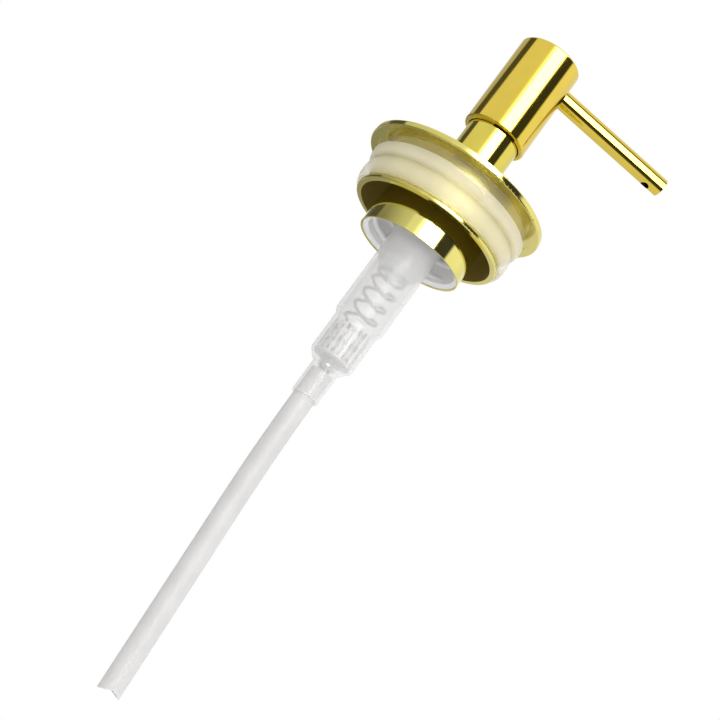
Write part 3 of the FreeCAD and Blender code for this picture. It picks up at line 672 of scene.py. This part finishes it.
def look_from(thing, target, azimuth, elevation, distance, roll):
    """Places an object at a distance from the target, looking at it, and rolls it about that line."""
    back = facing(azimuth, elevation)
    right = Vector((math.cos(azimuth), math.sin(azimuth), 0))
    up = back.cross(right)
    turned = Matrix.Rotation(roll, 3, back)
    axes = Matrix((turned @ right, turned @ up, back)).transposed()
    thing.matrix_world = Matrix.Translation(Vector(target) + back * distance) @ axes.to_4x4()


def mirror_view(finish):
    """1 on rays by which a polished surface mirrors the studio, and 0 on those that light matt ones."""
    bounced = finish.node("ShaderNodeLightPath", result="Diffuse Depth") > 0
    return rays(finish, "Is Glossy Ray") * (1 - bounced)


def card_direction(finish, settings):
    """The azimuth of a card's point in degrees, from the camera's to the right, and its height angle."""
    across, back, up = finish.parts(finish.place())
    right = finish.node("ShaderNodeMath", {"operation": "ARCTAN2"}, (across, 0 - back))
    height = finish.node("ShaderNodeMath", {"operation": "ARCTAN2"}, (up, axis_distance(finish)))
    return right * (180 / math.pi) - math.degrees(settings.azimuth), height * (180 / math.pi)


def climb_of(finish, elevation):
    """Degrees by which a card's point is above the foot of the lean, from 0 to the lean's range."""
    return finish.ramp(elevation, LEAN_FOOT, LEAN_FOOT + LEAN_RANGE, 0, LEAN_RANGE)


def inside(finish, value, low, high, soft_low, soft_high):
    """1 between two edges, falling to 0 at them over a soft width of each."""
    return finish.ramp(value, low, low + soft_low) * finish.ramp(value, high - soft_high, high, 1, 0)


def hung(finish, level, mask):
    """A card's emission: its level where the mask is 1, and the room's where it is 0."""
    return finish.close(emission(finish, 1 + (level - 1) * mask))


def flag_material(name, settings, azimuths, elevations):
    """A flag of one level with soft edges all round."""
    finish = new_finish(name)
    azimuth, elevation = card_direction(finish, settings)
    return hung(finish, FLAG_LEVEL, inside(finish, azimuth, *azimuths, 8, 8)
                * inside(finish, elevation, *elevations, 5, 5))


def softbox_material(settings):
    """The softbox: it fades into the room to the left and to dark at its right and lower edges."""
    finish = new_finish("softbox")
    azimuth, elevation = card_direction(finish, settings)
    climb = climb_of(finish, elevation)
    right_edge = 36.8 + 0.06 * climb * climb
    right_blur = 5 + 0.5 * climb
    lit = finish.ramp((right_edge - azimuth) / right_blur) ** 4
    lit = lit * finish.ramp(elevation, -12.5, -9.5) ** 2
    left_fade = finish.ramp(azimuth, -28, -2.5) ** 4.5
    mirrored = mirror_view(finish)
    full = settings.softbox_light + (settings.softbox_glare - settings.softbox_light) * mirrored
    dark = settings.room_light + (CARD_DARK - settings.room_light) * mirrored
    strength = dark + (1 + (full - 1) * left_fade - dark) * lit
    return hung(finish, strength, finish.ramp(elevation, 38, 45, 1, 0))


def fill_material(settings):
    """The pale reflector on the right, whose near edge leans away as it climbs."""
    finish = new_finish("fill")
    azimuth, elevation = card_direction(finish, settings)
    near_edge = 62.5 + 0.58 * climb_of(finish, elevation)
    return hung(finish, CARD_DARK + 1.1 * finish.ramp((azimuth - near_edge) / 6),
                finish.ramp(azimuth, 100, 132, 1, 0) * inside(finish, elevation, -20, 45, 8, 7))


def scrim_material(settings):
    """The scrim on the left: dimmer the further it goes round behind the pump and the lower it hangs,
    with a dark flag leaning across it."""
    finish = new_finish("scrim")
    azimuth, elevation = card_direction(finish, settings)
    low = finish.ramp(azimuth, -92, -25, 0.26, 0.835)
    level = low + (1 - low) * finish.ramp(elevation, 18.5, 25)
    aside = azimuth - (-123.5 + 2 * (elevation - LEAN_FOOT))
    behind = finish.ramp(aside, -16, 0, 0.6, 1)
    flag = finish.ramp(finish.node("ShaderNodeMath", {"operation": "ABSOLUTE"}, (aside,)), 13, 16.5)
    level = 0.1 + (level * behind - 0.1) * flag
    matt = finish.ramp(azimuth, -140, -95, 1, 0) * (1 - mirror_view(finish))
    return hung(finish, level + (settings.room_light - level) * matt,
                inside(finish, azimuth, -167, -33, 16, 4) * inside(finish, elevation, -25, 40, 8, 6))


def low_material(settings):
    """The low reflector in front: it lights matt surfaces from below and is masked from polished ones."""
    finish = new_finish("low_reflector")
    azimuth, elevation = card_direction(finish, settings)
    level = settings.low_light + (CARD_DARK - settings.low_light) * mirror_view(finish)
    return hung(finish, level, inside(finish, azimuth, -38, 86, 10, 10) * finish.ramp(elevation, -58, -45))


def rear_material(settings):
    """The low card behind the pump: dimmer on the left."""
    finish = new_finish("rear_card")
    across = finish.parts(finish.place())[0] / settings.card_distance
    elevation = card_direction(finish, settings)[1]
    return hung(finish, finish.ramp(across, 0.1, 0.26, 0.32, 0.82),
                inside(finish, across, -0.3, 0.64, 0.2, 0.2) * inside(finish, elevation, -38, -6, 8, 8))


def floor_material():
    """Pale floor that keeps the pump's shadow and is lost in the background farther out."""
    finish = new_finish("pale_floor")
    matt = finish.node("ShaderNodeBsdfDiffuse", inputs={"Color": (0.93, 0.93, 0.93, 1)})
    share = finish.spread(axis_distance(finish), 0.4, 2.4, 0.6, 1.0)
    seen = share * rays(finish, *SEEN_RAYS)
    return finish.close(finish.node("ShaderNodeMixShader", inputs=(seen, matt, emission(finish, 1.0))))


class PUMP_OT_studio(PieceOperator, bpy.types.Operator):
    """Set the camera, the pale floor, the soft light and the cards around the pump"""
    bl_idname = "pump.studio"
    bl_label = "Studio"

    def execute(self, context):
        settings = context.scene.pump_studio
        scene = context.scene
        scene.view_settings.view_transform = "Standard"
        self.light_room(scene, settings)
        self.lay_floor(settings)
        self.hang_cards(settings)
        self.place_camera(scene, settings)
        return {"FINISHED"}

    def light_room(self, scene, settings):
        world = bpy.data.worlds.new("studio")
        scene.world = world
        finish = Finish(world, "ShaderNodeOutputWorld")
        seen = rays(finish, *SEEN_RAYS)
        strength = settings.room_light + (1 - settings.room_light) * seen
        finish.close(finish.node("ShaderNodeBackground",
                                 inputs={"Color": (1, 1, 1, 1), "Strength": strength}))

    def lay_floor(self, settings):
        deselect_all()
        bpy.ops.mesh.primitive_plane_add(size=60, location=(0, 0, -settings.floor_drop))
        floor = bpy.context.object
        floor.name = "floor"
        floor.data.materials.append(floor_material())

    def hang_card(self, settings, name, distance, azimuths, elevations, material):
        """Hangs a curved card round the pump: its azimuths are counted from the camera's, in degrees."""
        deselect_all()
        bpy.ops.mesh.primitive_grid_add(size=1, x_subdivisions=24, y_subdivisions=8)
        card = bpy.context.object
        card.name = name
        card.data.materials.append(material)
        for vertex in card.data.vertices:
            across, up = vertex.co.x + 0.5, vertex.co.y + 0.5
            azimuth = settings.azimuth + math.radians(azimuths[0] + (azimuths[1] - azimuths[0]) * across)
            elevation = math.radians(elevations[0] + (elevations[1] - elevations[0]) * up)
            vertex.co = facing(azimuth, elevation) * settings.card_distance * distance
        card.visible_camera = False
        card.visible_shadow = False
        card.visible_diffuse = name in MATT_CARDS

    def hang_cards(self, settings):
        for name, distance, azimuths, elevations, material in (
                ("softbox", 1.0, (-32, 78), (-14, 45), softbox_material(settings)),
                ("fill", 0.95, (62, 132), (-20, 45), fill_material(settings)),
                ("scrim", 1.0, (-167, -33), (-25, 40), scrim_material(settings)),
                ("rear_card", 0.95, (148, 212), (-38, -6), rear_material(settings)),
                ("low_reflector", 0.75, (-38, 86), (-58, -11), low_material(settings))):
            self.hang_card(settings, name, distance, azimuths, elevations, material)
        for name, distance, azimuths, elevations in FLAGS:
            self.hang_card(settings, name, distance, azimuths, elevations,
                           flag_material(name, settings, azimuths, elevations))

    def place_camera(self, scene, settings):
        camera = bpy.data.objects.new("camera", bpy.data.cameras.new("camera"))
        scene.collection.objects.link(camera)
        camera.data.lens = settings.lens
        camera.data.sensor_width = 36
        camera.data.clip_start = 0.01
        look_from(camera, CAMERA_TARGET, settings.azimuth, settings.elevation,
                  settings.distance, settings.roll)
        scene.camera = camera


PIECES = (PUMP_OT_metalwork, PUMP_OT_plug_ring, PUMP_OT_closure_inside, PUMP_OT_pump_body,
          PUMP_OT_plunger, PUMP_OT_spring_and_balls)


class PUMP_PT_panel(bpy.types.Panel):
    """Sizes, colours and steps of the soap pump"""
    bl_idname = "PUMP_PT_panel"
    bl_label = "Soap pump"
    bl_space_type = "VIEW_3D"
    bl_region_type = "UI"
    bl_category = "Soap pump"

    def draw(self, context):
        scene = context.scene
        for title, group in (("Sizes", scene.pump_sizes), ("Colours", scene.pump_colours),
                             ("Studio", scene.pump_studio)):
            box = self.layout.box()
            box.label(text=title)
            for name in group.__annotations__:
                box.prop(group, name)
        steps = self.layout.column(align=True)
        for operator in (*PIECES, PUMP_OT_studio):
            steps.operator(operator.bl_idname)


CLASSES = (DetailSizes, FinishColours, StudioSettings, *PIECES, PUMP_OT_studio, PUMP_PT_panel)


def register():
    for item in CLASSES:
        bpy.utils.register_class(item)
    bpy.types.Scene.pump_sizes = PointerProperty(type=DetailSizes)
    bpy.types.Scene.pump_colours = PointerProperty(type=FinishColours)
    bpy.types.Scene.pump_studio = PointerProperty(type=StudioSettings)


def unregister():
    del bpy.types.Scene.pump_studio
    del bpy.types.Scene.pump_colours
    del bpy.types.Scene.pump_sizes
    for item in reversed(CLASSES):
        bpy.utils.unregister_class(item)


def main():
    register()
    deselect_all()
    bpy.ops.pump.metalwork()
    bpy.ops.pump.plug_ring()
    bpy.ops.pump.closure_inside()
    bpy.ops.pump.pump_body()
    bpy.ops.pump.plunger()
    bpy.ops.pump.spring_and_balls()
    bpy.ops.pump.studio()


if __name__ == "__main__":
    main()
